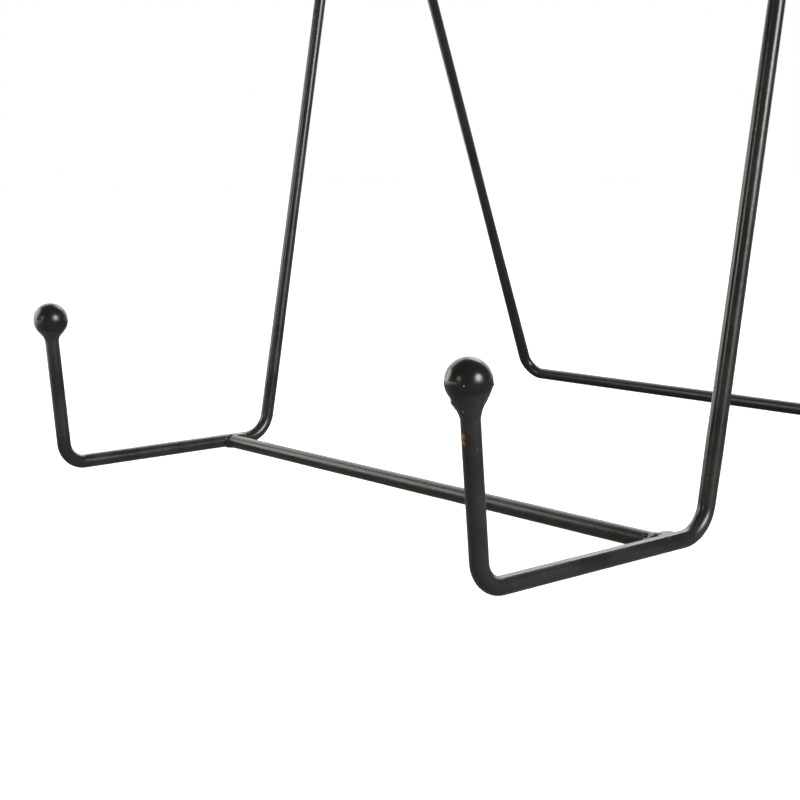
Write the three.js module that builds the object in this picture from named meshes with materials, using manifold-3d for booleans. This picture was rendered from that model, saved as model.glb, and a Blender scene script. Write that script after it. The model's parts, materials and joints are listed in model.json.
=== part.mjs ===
// A folding display stand for a plate, made of round steel wire.
//
// Two bent side rods, each with a ball on the tip of its front prong, are joined by a lower bar
// that is butted between their arms and an upper bar that lies across their backs. Each side rod
// is curled into an eye at the top. The rear leg is one bent wire: its two upper ends turn inwards
// through the eyes, as hinge pins, and end in short hooks. Opened out, the hooks come to rest
// against the upper bar, which sets how far the leg opens.
//
// Millimetres. X is across the stand, +Y points to the rear and +Z points up.
// The origin is on the table, at the centre of the stand's bounding box.

import * as THREE from "three";
import { mergeVertices } from "three/addons/utils/BufferGeometryUtils.js";
import Module from "manifold-3d";

// Driving dimensions.
const ROD_D = 5; // wire diameter
const BALL_D = 12.5;
const SPACING = 231.6; // between the centre lines of the side rods
const ARM_LENGTH = 92; // front bend to rear bend, between the corners of the centre line
const PRONG_HEIGHT = 55.9; // from the arm's centre line up to the ball's centre
const PRONG_LEAN = THREE.MathUtils.degToRad(4.5); // forwards
const FRAME_LEAN = THREE.MathUtils.degToRad(10.4); // backwards
const UPRIGHT_LENGTH = 305; // from the rear corner to where the eye's curl starts
const LOWER_BAR_AT = 74; // along the arm, from the front corner
const UPPER_BAR_BELOW_EYE = 22;
const LEG_REACH = 221; // from the rear corner of the arms to the leg's foot bar
const LEG_FOOT_WIDTH = 360; // between the corners of the foot bar's centre line
const LEG_TOP_WIDTH = 244; // between the corners where the leg turns in to the eyes
const HOOK_SPACING = 200; // between the centre lines of the two hooks
const HOOK_LENGTH = 31; // from the hinge line to the hook's end
const FRONT_BEND_R = 8.5; // all bend radii are to the centre line
const REAR_BEND_R = 11;
const FOOT_BEND_R = 9;
const PIN_BEND_R = 5;
const EYE_R = 5.6;
const EYE_CURL = THREE.MathUtils.degToRad(280);
const GAP = 0.3; // between pieces that touch

// Fineness of the faceted surfaces.
const ROD_SIDES = 16;
const BEND_STEP = THREE.MathUtils.degToRad(12);

// Worked out from the driving dimensions.
const ROD_R = ROD_D / 2;
const BALL_R = BALL_D / 2;
const ROD_CORNER_R = ROD_R / Math.cos(Math.PI / ROD_SIDES); // the flats lie on the true radius
const ROD_Z = ROD_R; // height of the centre line of a wire that lies on the table
const PRONG_FORWARD = PRONG_HEIGHT * Math.tan(PRONG_LEAN);
const DEPTH = PRONG_FORWARD + BALL_R + ARM_LENGTH + LEG_REACH + ROD_R;
const FRONT_Y = PRONG_FORWARD + BALL_R - DEPTH / 2; // the corner between prong and arm
const REAR_Y = FRONT_Y + ARM_LENGTH; // the corner between arm and upright
const FOOT_Y = REAR_Y + LEG_REACH;
const SIDES = { left: -1, right: 1 };

const X_AXIS = new THREE.Vector3(1, 0, 0);
const UP_THE_FRAME = new THREE.Vector3(0, Math.sin(FRAME_LEAN), Math.cos(FRAME_LEAN));
const BEHIND_THE_FRAME = new THREE.Vector3(0, Math.cos(FRAME_LEAN), -Math.sin(FRAME_LEAN));
const UP_THE_PRONG = new THREE.Vector3(0, -Math.sin(PRONG_LEAN), Math.cos(PRONG_LEAN));

const finish = new THREE.MeshStandardMaterial({ color: 0x1d1c1b, roughness: 0.42, metalness: 0.1 });

// The point that lies on the frame's sloping plane at a distance up it and a distance behind it.
function onFrame(x, up, behind) {
  return new THREE.Vector3(x, REAR_Y, ROD_Z)
    .addScaledVector(UP_THE_FRAME, up)
    .addScaledVector(BEHIND_THE_FRAME, behind);
}

const hingePoint = (x) => onFrame(x, UPRIGHT_LENGTH, EYE_R);

// A wire's centre line. It has one station at each end of a straight and one every BEND_STEP of a
// bend, so that an ExtrudeGeometry along it puts its rings only where they are needed.
class BentWire extends THREE.Curve {
  // Straights between the corners, with each inner corner rounded to its bend radius.
  constructor(corners, bendRadii) {
    super();
    this.stations = [];
    const last = corners.length - 1;
    const along = corners.slice(1).map((c, i) => c.clone().sub(corners[i]).normalize());
    this.addStation(corners[0], along[0]);
    for (let i = 1; i < last; i++) {
      const turn = along[i - 1].angleTo(along[i]);
      const tangentLength = bendRadii[i - 1] * Math.tan(turn / 2);
      const axis = along[i - 1].clone().cross(along[i]).normalize();
      this.addStation(corners[i].clone().addScaledVector(along[i - 1], -tangentLength), along[i - 1]);
      this.bend(bendRadii[i - 1], turn, axis);
    }
    this.addStation(corners[last], along[last - 1]);
  }

  addStation(point, direction) {
    this.stations.push({ point: point.clone(), direction: direction.clone() });
  }

  // Goes on from the last station round an arc about an axis square to the wire.
  bend(radius, angle, axis) {
    const { point, direction } = this.stations.at(-1);
    const fromCentre = direction.clone().cross(axis).multiplyScalar(radius);
    const centre = point.clone().sub(fromCentre);
    const steps = Math.ceil(angle / BEND_STEP);
    for (let i = 1; i <= steps; i++) {
      const turned = (angle * i) / steps;
      this.addStation(
        fromCentre.clone().applyAxisAngle(axis, turned).add(centre),
        direction.clone().applyAxisAngle(axis, turned),
      );
    }
    return this;
  }

  station(u) {
    return this.stations[Math.round(u * (this.stations.length - 1))];
  }

  getPointAt(u, target = new THREE.Vector3()) {
    return target.copy(this.station(u).point);
  }

  getTangentAt(u, target = new THREE.Vector3()) {
    return target.copy(this.station(u).direction);
  }
}

// The round section as a polygon. turned is the angle that it is rolled about the wire.
function rodSection(turned) {
  const points = [];
  for (let i = 0; i < ROD_SIDES; i++) {
    const angle = ((i + 0.5) / ROD_SIDES) * 2 * Math.PI + turned;
    points.push(new THREE.Vector2(ROD_CORNER_R * Math.cos(angle), ROD_CORNER_R * Math.sin(angle)));
  }
  return new THREE.Shape(points);
}

// Rolls the section so that one of its flats faces down at the given station.
function rollFacingDown(wire, index) {
  const frames = wire.computeFrenetFrames(wire.stations.length - 1, false);
  return Math.atan2(frames.binormals[index].z, frames.normals[index].z);
}

function wireGeometry(wire, turned = 0) {
  return new THREE.ExtrudeGeometry(rodSection(turned), {
    extrudePath: wire,
    steps: wire.stations.length - 1,
    bevelEnabled: false,
  });
}

// A straight wire along X, with flats above and below.
function straightBar(length) {
  return new THREE.CylinderGeometry(
    ROD_CORNER_R, ROD_CORNER_R, length, ROD_SIDES, 1, false, Math.PI / ROD_SIDES,
  ).rotateZ(Math.PI / 2);
}

// Ball tip, prong, arm, upright and eye lie in one plane across X.
function sideRod(x) {
  const front = new THREE.Vector3(x, FRONT_Y, ROD_Z);
  const prongLength = PRONG_HEIGHT / Math.cos(PRONG_LEAN) - BALL_R - GAP;
  const prongTip = front.clone().addScaledVector(UP_THE_PRONG, prongLength);
  const corners = [prongTip, front, onFrame(x, 0, 0), onFrame(x, UPRIGHT_LENGTH, 0)];
  const wire = new BentWire(corners, [FRONT_BEND_R, REAR_BEND_R]);
  return wireGeometry(wire.bend(EYE_R, EYE_CURL, X_AXIS.clone().negate()));
}

function ballCentre(x) {
  return new THREE.Vector3(x, FRONT_Y - PRONG_FORWARD, ROD_Z + PRONG_HEIGHT);
}

// The bead that fills the corner between the prong and the ball, about the ball's centre.
const BEAD_TOP_R = 4.6;
const BEAD_FOOT_R = 3.2;
const BEAD_FOOT = -9;
const BEAD_BORE_R = ROD_CORNER_R + GAP;
function ballBead() {
  const seatR = BALL_R + GAP;
  const seat = [BEAD_TOP_R, (BEAD_TOP_R + BEAD_BORE_R) / 2, BEAD_BORE_R].map(
    (radius) => new THREE.Vector2(radius, -Math.sqrt(seatR ** 2 - radius ** 2)),
  );
  const foot = [new THREE.Vector2(BEAD_BORE_R, BEAD_FOOT), new THREE.Vector2(BEAD_FOOT_R, BEAD_FOOT)];
  return new THREE.LatheGeometry([...foot, ...seat, foot[0]], ROD_SIDES);
}

const wasm = await Module();
wasm.setup();

function solid(geometry) {
  const bare = geometry.index ? geometry.toNonIndexed() : geometry.clone();
  bare.deleteAttribute("normal");
  bare.deleteAttribute("uv");
  const merged = mergeVertices(bare);
  return new wasm.Manifold(
    new wasm.Mesh({
      numProp: 3,
      vertProperties: merged.attributes.position.array,
      triVerts: new Uint32Array(merged.index.array),
    }),
  );
}

function geometryOf(manifold) {
  const { vertProperties, triVerts } = manifold.getMesh();
  const geometry = new THREE.BufferGeometry();
  geometry.setAttribute("position", new THREE.BufferAttribute(vertProperties, 3));
  geometry.setIndex(new THREE.BufferAttribute(triVerts, 1));
  geometry.computeVertexNormals();
  return geometry;
}

// The bead round the end of the lower bar. The arm cuts into it, and it is flush with the table.
const BAR_BEAD_R = 3.9;
const BAR_BEAD_TOE_R = 3.2;
const BAR_BEAD_LENGTH = 4;
const BAR_BEAD_LAP = 1.2; // how far it starts inside the arm's centre line
function barBead(side) {
  const inner = SPACING / 2 - ROD_R - BAR_BEAD_LENGTH;
  const outer = SPACING / 2 - BAR_BEAD_LAP;
  const profile = [
    [BEAD_BORE_R, inner],
    [BAR_BEAD_TOE_R, inner],
    [BAR_BEAD_R, outer],
    [BEAD_BORE_R, outer],
    [BEAD_BORE_R, inner],
  ].map(([radius, along]) => new THREE.Vector2(radius, along));
  const place = (geometry) => geometry.translate(0, FRONT_Y + LOWER_BAR_AT, ROD_Z);
  const ring = place(new THREE.LatheGeometry(profile, 2 * ROD_SIDES).rotateZ(-side * Math.PI / 2));
  const arm = place(
    new THREE.CylinderGeometry(BEAD_BORE_R, BEAD_BORE_R, ARM_LENGTH, ROD_SIDES, 1)
      .translate((side * SPACING) / 2, 0, 0),
  );
  const below = place(new THREE.BoxGeometry(2 * SPACING, ARM_LENGTH, 2 * ROD_D).translate(0, 0, -ROD_R - ROD_D));
  return geometryOf(solid(ring).subtract(solid(arm)).subtract(solid(below)));
}

// The bead in the crotch where the upper bar crosses the back of an upright. Both wires cut into it.
// It is shaped standing upright, with the bar along X, and then leaned back with the frame.
const CROSSING_BEAD_R = 3.7;
const CROSSING_BEAD_THICK = 3.2;
function crossingBead(side) {
  const place = (geometry, behind) => {
    const centre = onFrame((side * SPACING) / 2, UPRIGHT_LENGTH - UPPER_BAR_BELOW_EYE, behind);
    return solid(geometry.rotateX(-FRAME_LEAN).translate(centre.x, centre.y, centre.z));
  };
  const wire = () => new THREE.CylinderGeometry(BEAD_BORE_R, BEAD_BORE_R, 4 * ROD_D, ROD_SIDES);
  const bead = new THREE.CylinderGeometry(CROSSING_BEAD_R, CROSSING_BEAD_R, CROSSING_BEAD_THICK, ROD_SIDES);
  const upright = place(wire().rotateX(Math.PI / 2), 0);
  const bar = place(wire().rotateZ(Math.PI / 2), ROD_D + GAP);
  return geometryOf(place(bead, ROD_R + GAP / 2).subtract(upright).subtract(bar));
}

// Where the hooks point: down in front of the upper bar, a touching distance from it.
function hookDirection() {
  const toBar = onFrame(0, UPRIGHT_LENGTH - UPPER_BAR_BELOW_EYE, ROD_D + GAP).sub(hingePoint(0));
  const off = Math.asin((ROD_D + GAP) / toBar.length());
  return toBar.normalize().applyAxisAngle(X_AXIS, -off);
}

// Hook, hinge pin, side, foot bar and back again, in one wire.
function rearLeg() {
  const half = [
    hingePoint(HOOK_SPACING / 2).addScaledVector(hookDirection(), HOOK_LENGTH),
    hingePoint(HOOK_SPACING / 2),
    hingePoint(LEG_TOP_WIDTH / 2),
    new THREE.Vector3(LEG_FOOT_WIDTH / 2, FOOT_Y, ROD_Z),
  ];
  const mirrored = half.map((corner) => corner.clone().multiply(new THREE.Vector3(-1, 1, 1))).reverse();
  const radii = [PIN_BEND_R, PIN_BEND_R, FOOT_BEND_R];
  const wire = new BentWire([...half, ...mirrored], [...radii, ...radii.toReversed()]);
  const midway = Math.floor(wire.stations.length / 2);
  return wireGeometry(wire, rollFacingDown(wire, midway));
}

const stand = new THREE.Group();

function add(name, geometry) {
  const mesh = new THREE.Mesh(geometry, finish);
  mesh.name = name;
  stand.add(mesh);
  return mesh;
}

for (const [side, sign] of Object.entries(SIDES)) {
  const x = (sign * SPACING) / 2;
  add(`${side}_side_rod`, sideRod(x));
  add(`${side}_ball_tip`, new THREE.SphereGeometry(BALL_R, 24, 16)).position.copy(ballCentre(x));
  const bead = add(`${side}_ball_weld`, ballBead());
  bead.position.copy(ballCentre(x));
  bead.rotation.x = Math.PI / 2 + PRONG_LEAN;
  add(`${side}_lower_bar_weld`, barBead(sign));
  add(`${side}_upper_bar_weld`, crossingBead(sign));
}
const armInside = SPACING - ROD_D - 2 * GAP;
add("lower_cross_bar", straightBar(armInside)).position.set(0, FRONT_Y + LOWER_BAR_AT, ROD_Z);
const upperBar = add("upper_cross_bar", straightBar(SPACING + ROD_D));
upperBar.position.copy(onFrame(0, UPRIGHT_LENGTH - UPPER_BAR_BELOW_EYE, ROD_D + GAP));
upperBar.rotation.x = -FRAME_LEAN;
add("rear_leg", rearLeg());

export default stand;
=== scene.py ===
"""The looks of a folding display stand for a plate, bent and welded from round steel wire.

Metres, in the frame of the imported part: X across the stand, +Y to the rear, +Z up.
Every wire, ball and weld bead is a smooth mesh with the small unevenness of dipped black paint.
"""

import json
import math

import bpy
from mathutils import Matrix, Vector, noise


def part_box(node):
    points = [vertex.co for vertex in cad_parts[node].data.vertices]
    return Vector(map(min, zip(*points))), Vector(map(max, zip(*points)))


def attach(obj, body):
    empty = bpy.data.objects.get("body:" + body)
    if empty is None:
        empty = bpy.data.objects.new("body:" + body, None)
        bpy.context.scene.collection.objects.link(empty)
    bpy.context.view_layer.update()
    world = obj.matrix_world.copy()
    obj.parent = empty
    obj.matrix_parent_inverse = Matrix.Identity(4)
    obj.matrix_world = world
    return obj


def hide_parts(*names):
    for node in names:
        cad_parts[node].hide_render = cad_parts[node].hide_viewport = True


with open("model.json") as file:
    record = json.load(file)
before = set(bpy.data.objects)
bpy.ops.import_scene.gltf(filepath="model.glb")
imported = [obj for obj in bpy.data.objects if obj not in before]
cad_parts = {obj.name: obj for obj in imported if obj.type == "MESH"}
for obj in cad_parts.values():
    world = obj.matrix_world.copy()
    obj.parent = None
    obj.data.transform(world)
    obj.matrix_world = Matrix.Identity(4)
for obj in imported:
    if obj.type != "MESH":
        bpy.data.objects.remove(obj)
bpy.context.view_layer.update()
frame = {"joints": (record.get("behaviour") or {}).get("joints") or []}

MM = 0.001  # one millimetre, in metres

# Shape values that the frame's boxes don't give.
PRONG_LEAN = math.radians(4.5)
FRAME_LEAN = math.radians(10.4)
FRONT_BEND_R = 8.5 * MM  # all bend radii are to the wire's centre line
REAR_BEND_R = 11 * MM
FOOT_BEND_R = 9 * MM
PIN_BEND_R = 5 * MM
EYE_R = 5.6 * MM
EYE_CURL = math.radians(280)
UPPER_BAR_BELOW_EYE = 22 * MM
LEG_FOOT_WIDTH = 360 * MM
LEG_TOP_WIDTH = 244 * MM
HOOK_SPACING = 200 * MM
HOOK_LENGTH = 31 * MM
GAP = 0.3 * MM  # between pieces that touch

# Fineness of the wires.
RING_STEP = 0.55 * MM
ROD_SIDES = 40

X_AXIS = Vector((1, 0, 0))
UP_THE_FRAME = Vector((0, math.sin(FRAME_LEAN), math.cos(FRAME_LEAN)))
BEHIND_THE_FRAME = Vector((0, math.cos(FRAME_LEAN), -math.sin(FRAME_LEAN)))
UP_THE_PRONG = Vector((0, -math.sin(PRONG_LEAN), math.cos(PRONG_LEAN)))


def middle(node):
    low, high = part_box(node)
    return (low + high) / 2


def size(node):
    low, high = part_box(node)
    return high - low


# Places and sizes from the frame.
ROD_R = size("lower_cross_bar").z / 2
BALL_R = size("right_ball_tip").x / 2
HALF_SPACING = middle("right_ball_tip").x
HINGE = Vector(frame["joints"][0]["pos_m"])
BALL_Y, BALL_Z = middle("right_ball_tip").yz
FRONT_Y = BALL_Y + (BALL_Z - ROD_R) * math.tan(PRONG_LEAN)
UPRIGHT_LENGTH = (HINGE.z - ROD_R + EYE_R * math.sin(FRAME_LEAN)) / math.cos(FRAME_LEAN)
REAR_Y = HINGE.y - UPRIGHT_LENGTH * math.sin(FRAME_LEAN) - EYE_R * math.cos(FRAME_LEAN)
FOOT_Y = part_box("rear_leg")[1].y - ROD_R
LOWER_BAR = middle("lower_cross_bar")
UPPER_BAR = middle("upper_cross_bar")
UPPER_BAR_HALF = size("upper_cross_bar").x / 2
LOWER_BAR_HALF = HALF_SPACING - ROD_R * 0.8  # its ends run into the arms
PRONG_END = BALL_R * 0.9  # short of the ball's centre, so that the prong's tip is inside the ball


def on_frame(x, up, behind=0.0):
    """The point at a distance up the sloping frame and a distance behind it."""
    return Vector((x, REAR_Y, ROD_R)) + UP_THE_FRAME * up + BEHIND_THE_FRAME * behind


# ---------------------------------------------------------------- wires


class Wire:
    """The centre line of a bent wire, as closely spaced (point, direction) stations."""

    def __init__(self, start, direction):
        self.stations = [(start.copy(), direction.normalized())]

    def straight_to(self, end):
        start, direction = self.stations[-1]
        length = (end - start).length
        steps = max(1, math.ceil(length / RING_STEP))
        for i in range(1, steps + 1):
            self.stations.append((start.lerp(end, i / steps), direction))

    def bend(self, radius, angle, axis):
        start, direction = self.stations[-1]
        arm = direction.cross(axis) * radius
        centre = start - arm
        steps = max(3, math.ceil(radius * angle / RING_STEP))
        for i in range(1, steps + 1):
            turn = Matrix.Rotation(angle * i / steps, 3, axis)
            self.stations.append((turn @ arm + centre, turn @ direction))


def bent_wire(corners, radii):
    """Straights between the corners, with each inner corner rounded to its bend radius."""
    along = [(b - a).normalized() for a, b in zip(corners, corners[1:])]
    wire = Wire(corners[0], along[0])
    for corner, radius, arriving, leaving in zip(corners[1:], radii, along, along[1:]):
        angle = arriving.angle(leaving)
        wire.straight_to(corner - arriving * radius * math.tan(angle / 2))
        wire.bend(radius, angle, arriving.cross(leaving).normalized())
    wire.straight_to(corners[-1])
    return wire


def bumps_at(point, across, shift):
    """Smooth noise between about -1 and 1, whose bumps are about this many millimetres across."""
    return noise.noise(point / (across * MM) + Vector(shift))


SKIN_WAVES = ((18, 0.035), (2.6, 0.022))  # how far across and how high, in mm


def unevenness(point, seed):
    """How far the paint stands proud of the true radius there, in metres."""
    shift = (seed * 7.3, seed * 3.1, 0)
    return sum(height * bumps_at(point, across, shift) for across, height in SKIN_WAVES) * MM


# How thick each wire is with its paint, which ran down and set thicker low on the wires. Each pair
# is a share of the wire's length and how much the radius there differs from the rod's, in mm.
COATS = {
    "right_rod": ((0, 0.22), (0.31, 0.20), (0.35, 0.34), (0.75, 0.10), (1, 0.0)),
    "left_rod": ((0, 0.12), (0.31, 0.06), (0.35, 0.10), (0.55, -0.15), (1, -0.15)),
    "lower_bar": ((0, 0.12), (1, 0.28)),
    "upper_bar": ((0, 0.05), (1, 0.05)),
    "leg": (
        (0, 0.0),
        (0.15, -0.15),
        (0.25, -0.12),
        (0.34, 0.36),
        (0.66, 0.36),
        (0.75, -0.12),
        (0.85, -0.15),
        (1, 0.0),
    ),
}


def coat_at(name, share):
    """The coat's difference in radius there, in metres."""
    pairs = COATS[name]
    for (start, here), (end, there) in zip(pairs, pairs[1:]):
        if share <= end:
            return (here + (there - here) * max(share - start, 0) / (end - start)) * MM
    return pairs[-1][1] * MM


def mesh_object(name, verts, faces):
    mesh = bpy.data.meshes.new(name)
    mesh.from_pydata(verts, [], faces)
    mesh.validate()
    mesh.shade_smooth()
    piece = bpy.data.objects.new(name, mesh)
    bpy.context.scene.collection.objects.link(piece)
    return piece


def skin_rings(rings, closed_ends=True):
    """Quads between neighbouring rings, and a fan over each end."""
    sides = len(rings[0])
    verts = [v for ring in rings for v in ring]
    faces = []
    for r in range(len(rings) - 1):
        a, b = r * sides, (r + 1) * sides
        for i in range(sides):
            j = (i + 1) % sides
            faces.append((a + i, a + j, b + j, b + i))
    if closed_ends:
        for ring_index, flip in ((0, True), (len(rings) - 1, False)):
            ring = rings[ring_index]
            centre = sum(ring, Vector()) / sides
            verts.append(centre)
            hub, first = len(verts) - 1, ring_index * sides
            for i in range(sides):
                j = (i + 1) % sides
                edge = (first + j, first + i) if flip else (first + i, first + j)
                faces.append((*edge, hub))
    return verts, faces


EDGE_ROUND = 0.55 * MM  # the paint rounds a cut end
EDGE_STEPS = 5


def rod(name, wire, seed):
    """A round wire with rounded cut ends along the stations of a centre line."""
    start, start_along = wire.stations[0]
    end, end_along = wire.stations[-1]
    side = start_along.orthogonal().normalized()
    # Each pair is how much thinner the wire is there, and how far that is from its end.
    rounding = [
        (EDGE_ROUND * (1 - math.sin(a)), EDGE_ROUND * (1 - math.cos(a)))
        for a in (math.pi / 2 * i / EDGE_STEPS for i in range(EDGE_STEPS))
    ]
    placed = [(start + start_along * cut, start_along, less) for less, cut in rounding]
    placed += [
        (point, along, 0.0)
        for point, along in wire.stations
        if min((point - start).length, (point - end).length) > EDGE_ROUND
    ]
    placed += [(end - end_along * cut, end_along, less) for less, cut in reversed(rounding)]
    rings = []
    for index, (point, along, less) in enumerate(placed):
        radius = ROD_R + coat_at(name, index / (len(placed) - 1)) - less
        side = (side - along * side.dot(along)).normalized()
        other = along.cross(side)
        ring = []
        for i in range(ROD_SIDES):
            angle = 2 * math.pi * i / ROD_SIDES
            out = side * math.cos(angle) + other * math.sin(angle)
            skin = point + out * radius
            ring.append(skin + out * unevenness(skin, seed))
        rings.append(ring)
    return mesh_object(name, *skin_rings(rings))


def side_rod(side):
    x = side * HALF_SPACING
    front = Vector((x, FRONT_Y, ROD_R))
    prong_length = (BALL_Z - ROD_R) / math.cos(PRONG_LEAN) - PRONG_END
    tip = front + UP_THE_PRONG * prong_length
    corners = [tip, front, on_frame(x, 0), on_frame(x, UPRIGHT_LENGTH)]
    wire = bent_wire(corners, [FRONT_BEND_R, REAR_BEND_R])
    wire.bend(EYE_R, EYE_CURL, -X_AXIS)
    return wire


def straight_wire(centre, half_length):
    wire = Wire(centre - X_AXIS * half_length, X_AXIS)
    wire.straight_to(centre + X_AXIS * half_length)
    return wire


def hook_direction():
    """Down in front of the upper bar, a touching distance from it."""
    to_bar = UPPER_BAR - HINGE
    to_bar.x = 0
    off = math.asin((2 * ROD_R + GAP) / to_bar.length)
    return Matrix.Rotation(-off, 3, X_AXIS) @ to_bar.normalized()


def rear_leg():
    def at(x):
        return Vector((x, HINGE.y, HINGE.z))

    half = [
        at(HOOK_SPACING / 2) + hook_direction() * HOOK_LENGTH,
        at(HOOK_SPACING / 2),
        at(LEG_TOP_WIDTH / 2),
        Vector((LEG_FOOT_WIDTH / 2, FOOT_Y, ROD_R)),
    ]
    mirrored = [Vector((-c.x, c.y, c.z)) for c in reversed(half)]
    radii = [PIN_BEND_R, PIN_BEND_R, FOOT_BEND_R]
    return bent_wire(half + mirrored, radii + radii[::-1])


# ---------------------------------------------------------------- balls and welds


CEILING_EDGE = 0.15 * MM  # how softly a turned surface flattens under its ceiling


def turned(name, centre, axis, profile, lump, sides=64, floor=None, ceiling=None):
    """A closed surface turned about an axis.

    profile is (along, radius) from one pole to the other. lump(point, out, along) says how far the
    surface stands out there. It can be cut off flat at a floor height and flattened softly under a
    ceiling height.
    """
    axis = axis.normalized()
    side = axis.orthogonal().normalized()
    other = axis.cross(side)
    rings = []
    for along, radius in profile:
        ring = []
        for i in range(sides):
            angle = 2 * math.pi * i / sides
            out = side * math.cos(angle) + other * math.sin(angle)
            point = centre + axis * along + out * radius
            point += out * lump(point, out, along)
            if floor is not None:
                point.z = max(point.z, floor)
            if ceiling is not None:
                below = math.exp((ceiling - point.z) / CEILING_EDGE)
                point.z = ceiling - CEILING_EDGE * math.log(1 + below)
            ring.append(point)
        rings.append(ring)
    return mesh_object(name, *skin_rings(rings))


def side_name(side):
    return "right" if side > 0 else "left"


def smooth(t):
    """A smooth rise from 0 at 0 to 1 at 1, level outside that."""
    t = min(max(t, 0.0), 1.0)
    return t * t * (3 - 2 * t)


def hump(distance, width):
    """1 at no distance, falling off smoothly over a width on both sides."""
    return math.exp(-((distance / width) ** 2))


def oval(half_length, radius, steps, pole_gap, fullness=1.0):
    """The profile of a ball or a flattened bead. The pole gap is a share of one step."""
    angles = [math.pi * (i + pole_gap) / (steps + 2 * pole_gap) for i in range(steps + 1)]
    return [(-half_length * math.cos(a), radius * math.sin(a) ** fullness) for a in angles]


BALL_COAT = 0.16 * MM
# Where the real balls sit, against their places in the frame: across, to the rear and up.
BALL_OFFSETS = {-1: Vector((0.30, 0.35, -0.45)) * MM, 1: Vector((0.0, 0.08, 0.33)) * MM}
BALL_SWELL = 0.05 * MM
# A grain under the paint of the right ball.
NIB_DIRECTION = Vector((0.652, 0.741, -0.148))
NIB_HEIGHT = 0.28 * MM
NIB_WIDTH = 0.42 * MM


def ball_centre(side):
    return Vector((side * HALF_SPACING, BALL_Y, BALL_Z)) + BALL_OFFSETS[side]


def ball(side, seed):
    centre = ball_centre(side)
    radius = BALL_R + BALL_COAT
    profile = oval(radius, radius, steps=72, pole_gap=0.15)
    nib = centre + NIB_DIRECTION.normalized() * radius

    def lump(point, out, along):
        rise = BALL_SWELL * bumps_at(point, 5, (seed, 0, 0))
        if side > 0:
            rise += NIB_HEIGHT * hump((point - nib).length, NIB_WIDTH)
        return rise * min(1, (point - centre).length / radius)

    return turned(f"{side_name(side)}_ball", centre, UP_THE_PRONG, profile, lump, sides=112)


# The neck that the weld makes under a ball: how far down it reaches, how wide its cone is where it
# meets the ball, how hollow its flare is, the fillet between the two, how lumpy it is, and how far a
# drip edge, with a crease under it, stands out on one side.
NECKS = {
    -1: {
        "down": 8.3 * MM,
        "top": 3.8 * MM,
        "hollow": 1.7,
        "fillet": 0.40 * MM,
        "lumps": 0.14 * MM,
        "drip": 0.0,
    },
    1: {
        "down": 9.5 * MM,
        "top": 5.15 * MM,
        "hollow": 1.25,
        "fillet": 0.16 * MM,
        "lumps": 0.20 * MM,
        "drip": 0.42 * MM,
    },
}
NECK_OVER_PRONG = 0.03 * MM  # how far its foot stands outside the prong's paint
NECK_OVER_BALL = 1.7 * MM  # how far the neck's skin runs on over the ball
NECK_SINK = 0.9 * MM  # the last part of that, where it sinks into the ball
NECK_UNDER_BALL = 0.08 * MM  # how deep its end lies in the ball
DRIP_SIDE = Vector((-0.7, -0.7, 0))
DRIP_BELOW = 1.9 * MM  # the drip edge, under the line where cone and ball meet
DRIP_WIDTH = 1.3 * MM
CREASE_BELOW = 0.1 * MM
CREASE_SLANT = 3.2 * MM  # how much lower it runs away from the drip's side
CREASE_WIDTH = 0.3 * MM


def ball_neck(side, seed):
    centre = ball_centre(side)
    neck = NECKS[side]
    foot = centre - BALL_OFFSETS[side] - UP_THE_PRONG * neck["down"]
    down = (centre - foot).length
    fillet = neck["fillet"]
    ball_radius = BALL_R + BALL_COAT
    prong_radius = ROD_R + coat_at(f"{side_name(side)}_rod", 0)
    crossing = -math.sqrt(ball_radius**2 - neck["top"] ** 2)
    end = crossing + NECK_OVER_BALL
    steps = 60

    def radius_at(along):
        t = min((along + down) / (crossing + down), 1)
        flare = (neck["top"] - prong_radius) * t ** neck["hollow"]
        cone = prong_radius + NECK_OVER_PRONG + flare
        ball_there = math.sqrt(max(ball_radius**2 - along**2, 0))
        both = math.exp((cone - ball_radius) / fillet) + math.exp((ball_there - ball_radius) / fillet)
        blended = ball_radius + fillet * math.log(both)
        sink = smooth((along - end + NECK_SINK) / NECK_SINK)
        return blended + (ball_there - NECK_UNDER_BALL - blended) * sink

    profile = [(-down - 0.3 * MM, prong_radius * 0.9)]  # its foot closes inside the prong
    for i in range(steps + 1):
        along = -down + (end + down) * i / steps
        profile.append((along, radius_at(along)))

    def lump(point, out, along):
        fade = smooth((along + down) / (2 * MM)) * smooth((end - 0.5 * MM - along) / (1 * MM))
        bumps = bumps_at(point, 1.9, (seed, 4.2, 0)) + 0.6 * bumps_at(point, 0.9, (0, seed, 0))
        round_to = out.dot(DRIP_SIDE)
        lip = smooth(round_to * 1.6 - 0.4) * hump(along - crossing + DRIP_BELOW, DRIP_WIDTH)
        crease_at = crossing - CREASE_BELOW - (1 - round_to) * CREASE_SLANT
        crease = smooth(3 * round_to + 0.3) * hump(along - crease_at, CREASE_WIDTH)
        return fade * (neck["lumps"] * bumps + neck["drip"] * (lip - 0.7 * crease))

    return turned(f"{side_name(side)}_neck", centre, centre - foot, profile, lump, sides=96)


# Both ends of the lower bar's beads, along the bar from the arm's centre line.
BEAD_START = -(ROD_R + 4.4 * MM)
BEAD_END = -0.25 * MM
BEAD_CORNER = (-ROD_R * 0.95 - BEAD_START) / (BEAD_END - BEAD_START)  # the thickest place, as a share
BEAD_SWELL = 1.0 * MM  # there
BEAD_UNDER_BAR = 0.06 * MM  # how far below the bar's skin it begins
BEAD_LUMPS = 0.16 * MM
BEAD_TOP_DROP = 0.55 * MM  # how much lower it is on top


def lower_bar_radius(side):
    return ROD_R + coat_at("lower_bar", (1 + side) / 2)


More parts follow.
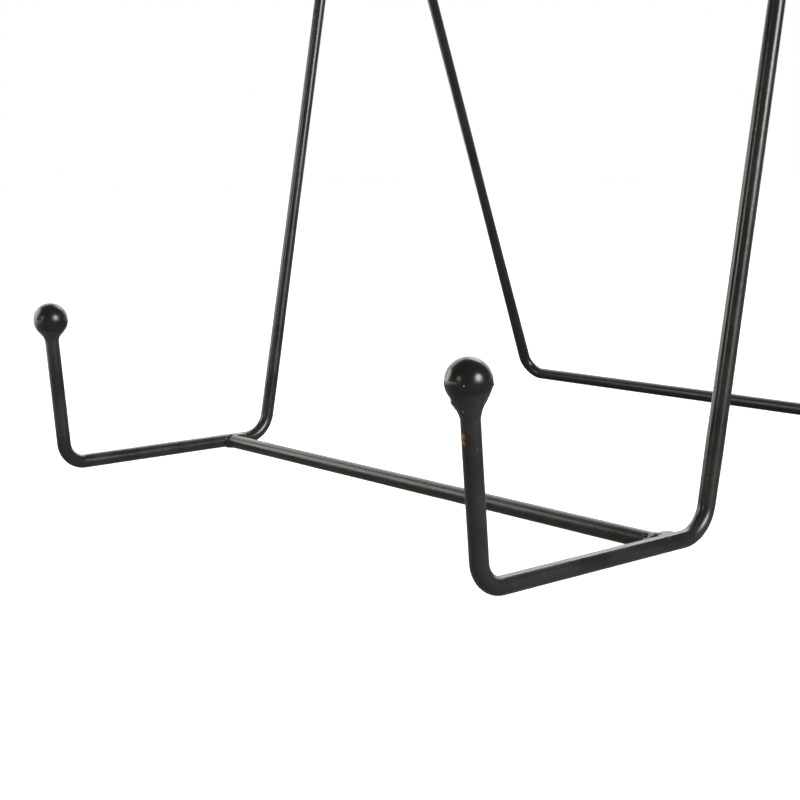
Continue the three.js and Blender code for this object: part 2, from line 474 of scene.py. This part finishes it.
def lower_bar_weld(side, seed):
    """The bead that fills the corner between the lower bar's end and the arm."""
    steps = 40
    profile = []
    for i in range(steps + 1):
        t = i / steps
        fall = 1 - 0.9 * smooth((t - BEAD_CORNER) / (1 - BEAD_CORNER))
        swell = smooth(t / BEAD_CORNER) ** 1.6 * fall
        radius = lower_bar_radius(side) - BEAD_UNDER_BAR + BEAD_SWELL * swell
        profile.append((BEAD_START + (BEAD_END - BEAD_START) * t, radius))
    centre = Vector((side * HALF_SPACING, LOWER_BAR.y, LOWER_BAR.z))

    def lump(point, out, along):
        t = (along - BEAD_START) / (BEAD_END - BEAD_START)
        fade = smooth(t * 4) * smooth((1 - t) * 5)
        bumps = bumps_at(point, 1.9, (seed, 1.7, 0)) + 0.5 * bumps_at(point, 0.8, (0, seed, 0))
        drop = BEAD_TOP_DROP * smooth(out.z * 1.5 - 0.4) * smooth(t / BEAD_CORNER)
        return fade * BEAD_LUMPS * bumps - drop

    name = f"{side_name(side)}_lower_weld"
    return turned(name, centre, X_AXIS * side, profile, lump, floor=0.02 * MM)


PORE_FROM_ARM = 5.6 * MM  # along the bar, from the arm's centre line
PORE_DIRECTION = Vector((0, -1.75, 1.95)).normalized()  # square to the bar
PORE_RADIUS = 0.62 * MM
PORE_LIP = 0.26 * MM
PORE_LIFT = 0.05 * MM  # its middle, above the bar's skin


def weld_pore(side):
    """The raised lip around a gas pore, where the weld runs out along the bar."""
    centre = Vector((side * (HALF_SPACING - PORE_FROM_ARM), LOWER_BAR.y, LOWER_BAR.z))
    centre += PORE_DIRECTION * (lower_bar_radius(side) + PORE_LIFT)
    around, sides = 32, 12
    rings = []
    for i in range(around + 1):
        angle = 2 * math.pi * i / around
        spoke = X_AXIS * math.cos(angle) + X_AXIS.cross(PORE_DIRECTION) * math.sin(angle)
        ring = []
        for j in range(sides):
            turn = 2 * math.pi * j / sides
            reach = PORE_RADIUS + PORE_LIP * math.cos(turn)
            ring.append(centre + spoke * reach + PORE_DIRECTION * PORE_LIP * math.sin(turn))
        rings.append(ring)
    return mesh_object(f"{side_name(side)}_weld_pore", *skin_rings(rings, closed_ends=False))


# Where paint and weld metal pooled on top of the lower bar's end, in the corner with the arm behind
# it. The centre is measured from the table under the arm, at the bar, with x away from the middle.
POOL_CENTRE = Vector((-1.9, 2.4, 3.2)) * MM
POOL_RADII = Vector((3.0, 5.6, 2.6)) * MM
POOL_TOP = 5.2 * MM
POOL_LUMPS = 0.05 * MM


def lower_weld_pool(side, seed):
    x = side * (HALF_SPACING + POOL_CENTRE.x)
    centre = Vector((x, LOWER_BAR.y + POOL_CENTRE.y, POOL_CENTRE.z))
    profile = oval(POOL_RADII.y, POOL_RADII.x, steps=40, pole_gap=0.2)

    def lump(point, out, along):
        inward = (point - centre) - Vector((0, along, 0))
        flatten = inward.z * (POOL_RADII.z / POOL_RADII.x - 1)
        return POOL_LUMPS * bumps_at(point, 2.2, (seed, 3.3, 0)) + flatten * out.z

    name = f"{side_name(side)}_lower_weld_pool"
    return turned(name, centre, Vector((0, 1, 0)), profile, lump, ceiling=POOL_TOP)


CROSS_BEAD_HALF = 1.55 * MM  # half its thickness
CROSS_BEAD_RADIUS = 3.6 * MM
CROSS_BEAD_LUMPS = 0.3 * MM


def upper_bar_weld(side, seed):
    """The flattened bead where the upper bar crosses the upright."""
    up = UPRIGHT_LENGTH - UPPER_BAR_BELOW_EYE
    centre = on_frame(side * HALF_SPACING, up, ROD_R)
    profile = oval(CROSS_BEAD_HALF, CROSS_BEAD_RADIUS, steps=20, pole_gap=0.3, fullness=0.6)

    def lump(point, out, along):
        return CROSS_BEAD_LUMPS * bumps_at(point, 1.8, (seed, 9.1, 0))

    name = f"{side_name(side)}_upper_weld"
    return turned(name, centre, BEHIND_THE_FRAME, profile, lump)


# ---------------------------------------------------------------- materials


class Nodes:
    """The node tree of a material or world, with short calls to add and join nodes."""

    def __init__(self, owner, output):
        owner.use_nodes = True
        self.tree = owner.node_tree
        self.tree.nodes.clear()
        self.output = self.add(output)
        self.coords = self.add("ShaderNodeTexCoord")

    def add(self, kind, **settings):
        node = self.tree.nodes.new(kind)
        for key, value in settings.items():
            setattr(node, key, value)
        return node

    def join(self, source, target):
        self.tree.links.new(source, target)

    def feed(self, socket, value):
        if isinstance(value, bpy.types.NodeSocket):
            self.join(value, socket)
        else:
            socket.default_value = value

    def in_mm(self):
        """The place on the object, in millimetres."""
        scale = self.add("ShaderNodeVectorMath", operation="SCALE")
        scale.inputs["Scale"].default_value = 1 / MM
        self.join(self.coords.outputs["Object"], scale.inputs[0])
        return scale.outputs[0]

    def along(self, source, direction):
        """How far a set of coordinates reaches in a direction."""
        node = self.add("ShaderNodeVectorMath", operation="DOT_PRODUCT")
        self.join(self.coords.outputs[source], node.inputs[0])
        node.inputs[1].default_value = direction
        return node.outputs["Value"]

    def noise(self, vector, feature, detail=2.0, roughness=0.5):
        """Noise from 0 to 1 whose features are about this many millimetres across."""
        node = self.add("ShaderNodeTexNoise")
        self.join(vector, node.inputs["Vector"])
        node.inputs["Scale"].default_value = 1 / feature
        node.inputs["Detail"].default_value = detail
        node.inputs["Roughness"].default_value = roughness
        return node.outputs["Fac"]

    def math(self, operation, a, b):
        node = self.add("ShaderNodeMath", operation=operation)
        self.feed(node.inputs[0], a)
        self.feed(node.inputs[1], b)
        return node.outputs[0]

    def ramp(self, value, low, high, to_low=0.0, to_high=1.0):
        """Goes smoothly from one number to another as the value goes from low to high."""
        node = self.add("ShaderNodeMapRange", interpolation_type="SMOOTHSTEP")
        self.feed(node.inputs["Value"], value)
        numbers = {"From Min": low, "From Max": high, "To Min": to_low, "To Max": to_high}
        for key, number in numbers.items():
            node.inputs[key].default_value = number
        return node.outputs[0]

    def mix(self, factor, a, b):
        """The first colour at a factor of 0 and the second at 1."""
        node = self.add("ShaderNodeMix", data_type="RGBA")
        self.feed(node.inputs["Factor"], factor)
        self.feed(node.inputs[6], a)
        self.feed(node.inputs[7], b)
        return node.outputs[2]

    def specks(self, vector, cell, radius, share):
        """1 inside scattered round specks. A share of the cells, each about this size, has one."""
        cells = self.add("ShaderNodeTexVoronoi", feature="F1")
        self.join(vector, cells.inputs["Vector"])
        cells.inputs["Scale"].default_value = 1 / cell
        inside = self.ramp(cells.outputs["Distance"], radius / cell, 0.4 * radius / cell)
        pick = self.add("ShaderNodeSeparateColor")
        self.join(cells.outputs["Color"], pick.inputs[0])
        chosen = self.math("LESS_THAN", pick.outputs[0], share)
        return self.math("MULTIPLY", inside, chosen)

    def near(self, point, radius):
        """1 at a point of the object, falling to 0 at a radius. Both are in metres."""
        node = self.add("ShaderNodeVectorMath", operation="DISTANCE")
        self.join(self.coords.outputs["Object"], node.inputs[0])
        node.inputs[1].default_value = point
        return self.ramp(node.outputs["Value"], radius, 0.25 * radius)

    def camera_sees(self, seen, reflected):
        """One surface for the camera's own rays and another for all the rest."""
        path = self.add("ShaderNodeLightPath")
        mix = self.add("ShaderNodeMixShader")
        self.join(path.outputs["Is Camera Ray"], mix.inputs[0])
        self.join(reflected.outputs[0], mix.inputs[1])
        self.join(seen.outputs[0], mix.inputs[2])
        self.join(mix.outputs[0], self.output.inputs["Surface"])


def new_material(name):
    material = bpy.data.materials.new(name)
    return material, Nodes(material, "ShaderNodeOutputMaterial")


GLOSS_BLACK = (0.0092, 0.0091, 0.0088, 1)
LEG_BLACK = (0.0120, 0.0119, 0.0115, 1)
BLACK = (0.0155, 0.0152, 0.0144, 1)
CHARCOAL = (0.0255, 0.0248, 0.0230, 1)
# Light grey for dust nibs and dust specks, and for the painted glints on the right ball's neck.
DUST_AND_GLINT = (0.42, 0.41, 0.37, 1)
RUST = (0.60, 0.26, 0.065, 1)
BROWN = (0.030, 0.020, 0.013, 1)

# Each paint's darker and lighter colour, its roughness, and the height in mm of its orange peel
# and of its fine grit.
PAINTS = {
    "wire_paint": (BLACK, CHARCOAL, 0.19, 0.014, 0.008),
    "bar_paint": (BLACK, CHARCOAL, 0.27, 0.018, 0.009),
    "leg_paint": (LEG_BLACK, BLACK, 0.33, 0.020, 0.008),
    "ball_paint": (GLOSS_BLACK, GLOSS_BLACK, 0.19, 0.008, 0.0015),
    "weld_paint": (BLACK, CHARCOAL, 0.15, 0.018, 0.006),
}
NIB_RISE = 0.05  # how far a dust nib stands out, in mm
NICK_DEPTH = 0.035


def paint(name, rust_at=(), dust_and_glints_at=()):
    """Black paint over steel: orange peel, grit, dust nibs, a few spots of rust, and light specks where
    they are asked for: chips on the wires, dust on the ball, and painted glints on the weld.
    """
    dark, light, roughness, peel, grit = PAINTS[name]
    material, s = new_material(name)
    mm = s.in_mm()
    cloud = s.noise(mm, feature=14.0, detail=3.0)
    wave = s.noise(mm, feature=1.3)
    fine = s.noise(mm, feature=0.34, detail=3.0, roughness=0.65)
    nibs = s.specks(mm, cell=4.2, radius=0.17, share=0.30)
    nicks = s.specks(mm, cell=9.0, radius=0.34, share=0.22)

    colour = s.mix(s.ramp(cloud, 0.38, 0.62), dark, light)
    worn = s.ramp(s.noise(mm, feature=38.0), 0.60, 0.72)
    colour = s.mix(s.math("MULTIPLY", worn, 0.35), colour, BROWN)
    colour = s.mix(s.math("MULTIPLY", nibs, 0.75), colour, DUST_AND_GLINT)
    rust_grain = s.ramp(fine, 0.35, 0.55)
    dust_and_glint_grain = s.ramp(fine, 0.42, 0.56)
    # Spots of rust, then light specks, which on the weld paint are painted glints.
    for spots, grain, stain in ((rust_at, rust_grain, RUST), (dust_and_glints_at, dust_and_glint_grain, DUST_AND_GLINT)):
        for point, radius in spots:
            colour = s.mix(s.math("MULTIPLY", s.near(point, radius), grain), colour, stain)

    rough = s.ramp(cloud, 0.3, 0.7, roughness - 0.05, roughness + 0.06)
    rough = s.math("ADD", rough, s.ramp(fine, 0.45, 0.8, 0.0, 0.12))

    height = s.math("MULTIPLY", wave, peel)
    for operation, mask, rise in (
        ("ADD", fine, grit),
        ("ADD", nibs, NIB_RISE),
        ("SUBTRACT", nicks, NICK_DEPTH),
    ):
        height = s.math(operation, height, s.math("MULTIPLY", mask, rise))
    bump = s.add("ShaderNodeBump")
    bump.inputs["Strength"].default_value = 1.0
    bump.inputs["Distance"].default_value = MM
    s.join(height, bump.inputs["Height"])

    bsdf = s.add("ShaderNodeBsdfPrincipled")
    bsdf.inputs["IOR"].default_value = 1.5
    s.join(colour, bsdf.inputs["Base Color"])
    s.join(rough, bsdf.inputs["Roughness"])
    s.join(bump.outputs[0], bsdf.inputs["Normal"])
    s.join(bsdf.outputs[0], s.output.inputs["Surface"])
    return material


CAMERA_YAW = math.radians(50.03)  # from +Y towards -X
SIDE_LAMP_AZIMUTH = -119


def heading(azimuth, elevation):
    """A direction from the stand, by its angles from the direction back to the camera."""
    turn = CAMERA_YAW + math.radians(azimuth)
    level = Vector((math.sin(turn), -math.cos(turn), 0))
    rise = math.radians(elevation)
    return level * math.cos(rise) + Vector((0, 0, math.sin(rise)))


FLOOR_COLOURS = ((0.80, 0.80, 0.795, 1), (0.83, 0.83, 0.825, 1))
FLOOR_MOTTLE = 160.0  # how far across its patches are, in mm
FLOOR_GLOW = 0.80
FLOOR_AS_REFLECTED = (0.24, 0.24, 0.235, 1)
# Parts of the floor that glow more brightly for the stand, as painted pools of light on it: their
# azimuth, the distances from the middle where the glow begins and is full, in metres, and how strong it
# is.
FAR_FLOOR = (180, 0.25, 0.75, 0.55)
SIDE_FLOOR = (SIDE_LAMP_AZIMUTH, 0.20, 0.55, 2.2)
FRONT_FLOOR = (-50, 0.012, 0.045, 0.07)


def floor_material():
    """Matt and near white. The stand itself sees it dimmer, as a sheet lit mostly from behind."""
    material, s = new_material("pale_floor")

    def with_glow(surface, strength):
        glow = s.add("ShaderNodeEmission")
        s.feed(glow.inputs["Strength"], strength)
        both = s.add("ShaderNodeAddShader")
        s.join(surface.outputs[0], both.inputs[0])
        s.join(glow.outputs[0], both.inputs[1])
        return both

    matt = s.add("ShaderNodeBsdfDiffuse")
    mottle = s.noise(s.in_mm(), feature=FLOOR_MOTTLE)
    s.join(s.mix(mottle, *FLOOR_COLOURS), matt.inputs["Color"])
    dimmer = s.add("ShaderNodeBsdfDiffuse")
    dimmer.inputs["Color"].default_value = FLOOR_AS_REFLECTED
    total = 0.0
    # Painted pools of light: glows on the floor that only the stand sees and is lit by.
    for azimuth, begin, full, strength in (FAR_FLOOR, SIDE_FLOOR, FRONT_FLOOR):
        away = s.along("Object", heading(azimuth, 0))
        total = s.math("ADD", s.ramp(away, begin, full, 0, strength), total)
    s.camera_sees(with_glow(matt, FLOOR_GLOW), with_glow(dimmer, total))
    return material


# ---------------------------------------------------------------- putting it together


def place(piece, node, slot, material, body="front_frame"):
    piece.data.materials.append(material)
    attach(piece, body)
    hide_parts(node)


# Small marks: the place and the radius of each, in mm. The first three groups are placed from the
# middle of the right ball, and the fourth from the right arm where the lower bar meets it.
# Two painted glints on the right ball's neck: light specks that stand in for a highlight.
NECK_GLINTS = [((1.1, -3.0, -7.2), 0.42), ((1.5, -2.8, -7.9), 0.36)]
PRONG_RUST = [((-0.34, -1.4, -13.9), 1.2), ((-0.20, -1.2, -15.6), 1.0)]
PRONG_CHIPS = [((2.47, 0.93, -17.3), 0.4), ((2.12, 3.37, -26.0), 0.6)]
ARM_CHIPS = [((1.77, 0.5, 1.77), 0.35)]
BALL_DUST = [((0.612, -0.592, 0.526), 0.34), ((0.607, -0.795, 0.0), 0.34)]  # places in ball radii


def marks(origin, group, unit=MM):
    return [(origin + Vector(place) * unit, radius * MM) for place, radius in group]


def build_stand():
    right_ball = Vector((HALF_SPACING, BALL_Y, BALL_Z))
    right_arm = Vector((HALF_SPACING, LOWER_BAR.y, ROD_R))
    chips = marks(right_ball, PRONG_CHIPS) + marks(right_arm, ARM_CHIPS)
    wire_paint = paint("wire_paint", rust_at=marks(right_ball, PRONG_RUST), dust_and_glints_at=chips)
    bar_paint = paint("bar_paint")
    leg_paint = paint("leg_paint")
    ball_paint = paint("ball_paint", dust_and_glints_at=marks(right_ball, BALL_DUST, unit=BALL_R))
    # The weld paint's light specks are the painted glints on the neck.
    weld_paint = paint("weld_paint", dust_and_glints_at=marks(right_ball, NECK_GLINTS))

    for side in (-1, 1):
        name = side_name(side)
        place(rod(f"{name}_rod", side_rod(side), side + 2), f"{name}_side_rod", "rod_paint", wire_paint)
        place(ball(side, side + 5), f"{name}_ball_tip", "ball_paint", ball_paint)
        place(ball_neck(side, side + 8), f"{name}_ball_weld", "weld_paint", weld_paint)
        lower_weld = f"{name}_lower_bar_weld"
        place(lower_bar_weld(side, side + 11), lower_weld, "weld_paint", weld_paint)
        place(lower_weld_pool(side, side + 12), lower_weld, "weld_paint", weld_paint)
        if side > 0:
            place(weld_pore(side), lower_weld, "weld_paint", weld_paint)
        place(upper_bar_weld(side, side + 14), f"{name}_upper_bar_weld", "weld_paint", weld_paint)
    lower = rod("lower_bar", straight_wire(LOWER_BAR, LOWER_BAR_HALF), seed=21)
    place(lower, "lower_cross_bar", "rod_paint", bar_paint)
    upper = rod("upper_bar", straight_wire(UPPER_BAR, UPPER_BAR_HALF), seed=23)
    place(upper, "upper_cross_bar", "rod_paint", bar_paint)
    leg = rod("leg", rear_leg(), seed=25)
    place(leg, "rear_leg", "leg_paint", leg_paint, body="rear_leg")


# ---------------------------------------------------------------- camera, floor and light

CAMERA_AT = Vector((390.7, -410.1, 111.9)) * MM
CAMERA_PITCH = math.radians(-8.81)
CAMERA_ROLL = math.radians(0.46)
SENSOR_WIDTH = 36  # this and the lens in mm
CAMERA_LENS = 66.3


def add_camera():
    data = bpy.data.cameras.new("camera")
    data.sensor_width = SENSOR_WIDTH
    data.lens = CAMERA_LENS
    data.clip_start = 10 * MM
    camera = bpy.data.objects.new("camera", data)
    turn = Matrix.Rotation(CAMERA_YAW, 3, "Z") @ Matrix.Rotation(math.pi / 2 + CAMERA_PITCH, 3, "X")
    turn = turn @ Matrix.Rotation(-CAMERA_ROLL, 3, "Z")
    camera.matrix_world = Matrix.Translation(CAMERA_AT) @ turn.to_4x4()
    bpy.context.scene.collection.objects.link(camera)
    bpy.context.scene.camera = camera


FLOOR_RADIUS = 12.0  # in metres


def add_floor():
    sides = 96
    rim = []
    for i in range(sides):
        angle = 2 * math.pi * i / sides
        rim.append(Vector((FLOOR_RADIUS * math.cos(angle), FLOOR_RADIUS * math.sin(angle), 0)))
    floor = mesh_object("floor", rim, [list(range(sides))])
    floor.data.materials.append(floor_material())


# Each lamp is a disk. Its azimuth is from the direction back to the camera, to the camera's right.
# Its size is the angle that it fills, as seen from the right prong. Both are in degrees.
LAMPS = {
    "key": {"azimuth": 48, "elevation": 21, "size": 28, "radiance": 12, "colour": (0.97, 0.97, 1)},
    "halo": {"azimuth": 50, "elevation": 14, "size": 47, "radiance": 1.9, "colour": (1, 1, 1)},
    "fill": {"azimuth": -50, "elevation": 17, "size": 16, "radiance": 4.2, "colour": (1, 1, 0.74)},
    "top": {"azimuth": 160, "elevation": 41, "size": 26, "radiance": 2.5, "colour": (1, 1, 0.91)},
    "side": {
        "azimuth": SIDE_LAMP_AZIMUTH,
        "elevation": 14,
        "size": 29,
        "radiance": 4.0,
        "colour": (1, 0.99, 0.87),
        "distance": 0.55,
    },
}
LAMP_DISTANCE = 3.0  # in metres, unless the lamp says otherwise
LAMP_AIM = Vector((HALF_SPACING, FRONT_Y, 50 * MM))  # on the right prong


def add_lamps():
    for name, lamp in LAMPS.items():
        data = bpy.data.lights.new(name, "AREA")
        data.shape = "DISK"
        distance = lamp.get("distance", LAMP_DISTANCE)
        data.size = 2 * distance * math.tan(math.radians(lamp["size"] / 2))
        area = math.pi * data.size**2 / 4
        data.energy = lamp["radiance"] * math.pi * area
        data.color = lamp["colour"]
        data.use_shadow = False
        placed = bpy.data.objects.new(name, data)
        towards = heading(lamp["azimuth"], lamp["elevation"])
        placed.location = LAMP_AIM + towards * distance
        placed.rotation_euler = towards.to_track_quat("Z", "Y").to_euler()
        placed.visible_camera = False
        bpy.context.scene.collection.objects.link(placed)


ROOM_LIGHT = 0.19
BACKDROP_LIGHT = 1.6  # near the horizon
BACKDROP_BRIGHTER = 1.1  # added to that higher up
BACKDROP_RISE = (12, 30)  # the elevations where the addition begins and is full
BACKDROP_MIDDLE = -177  # its azimuth
BACKDROP_SPREAD = (49, 61)  # the angles from there where the light begins to fall and where it ends
BACKDROP_TOP = (41, 52)  # the same for the elevation


def add_surroundings():
    """A studio that is white behind the stand and dim in front of it and overhead."""
    world = bpy.data.worlds.new("studio")
    bpy.context.scene.world = world
    s = Nodes(world, "ShaderNodeOutputWorld")

    def sines(angles):
        return [math.sin(math.radians(angle)) for angle in angles]

    height = s.along("Generated", (0, 0, 1))
    inner, outer = [math.cos(math.radians(angle)) for angle in BACKDROP_SPREAD]
    across = s.ramp(s.along("Generated", heading(BACKDROP_MIDDLE, 0)), outer, inner)
    below_top = s.ramp(height, *sines(BACKDROP_TOP), 1, 0)
    brightest = BACKDROP_LIGHT + BACKDROP_BRIGHTER
    bright = s.ramp(height, *sines(BACKDROP_RISE), BACKDROP_LIGHT, brightest)
    backdrop = s.math("MULTIPLY", s.math("MULTIPLY", across, below_top), bright)
    lit = s.add("ShaderNodeBackground")
    s.join(s.math("ADD", backdrop, ROOM_LIGHT), lit.inputs["Strength"])
    white = s.add("ShaderNodeBackground")
    white.inputs["Strength"].default_value = 1.0
    white.inputs["Color"].default_value = (1, 1, 1, 1)
    s.camera_sees(white, lit)


bpy.context.scene.view_settings.view_transform = "Standard"
add_camera()
build_stand()
add_floor()
add_lamps()
add_surroundings()
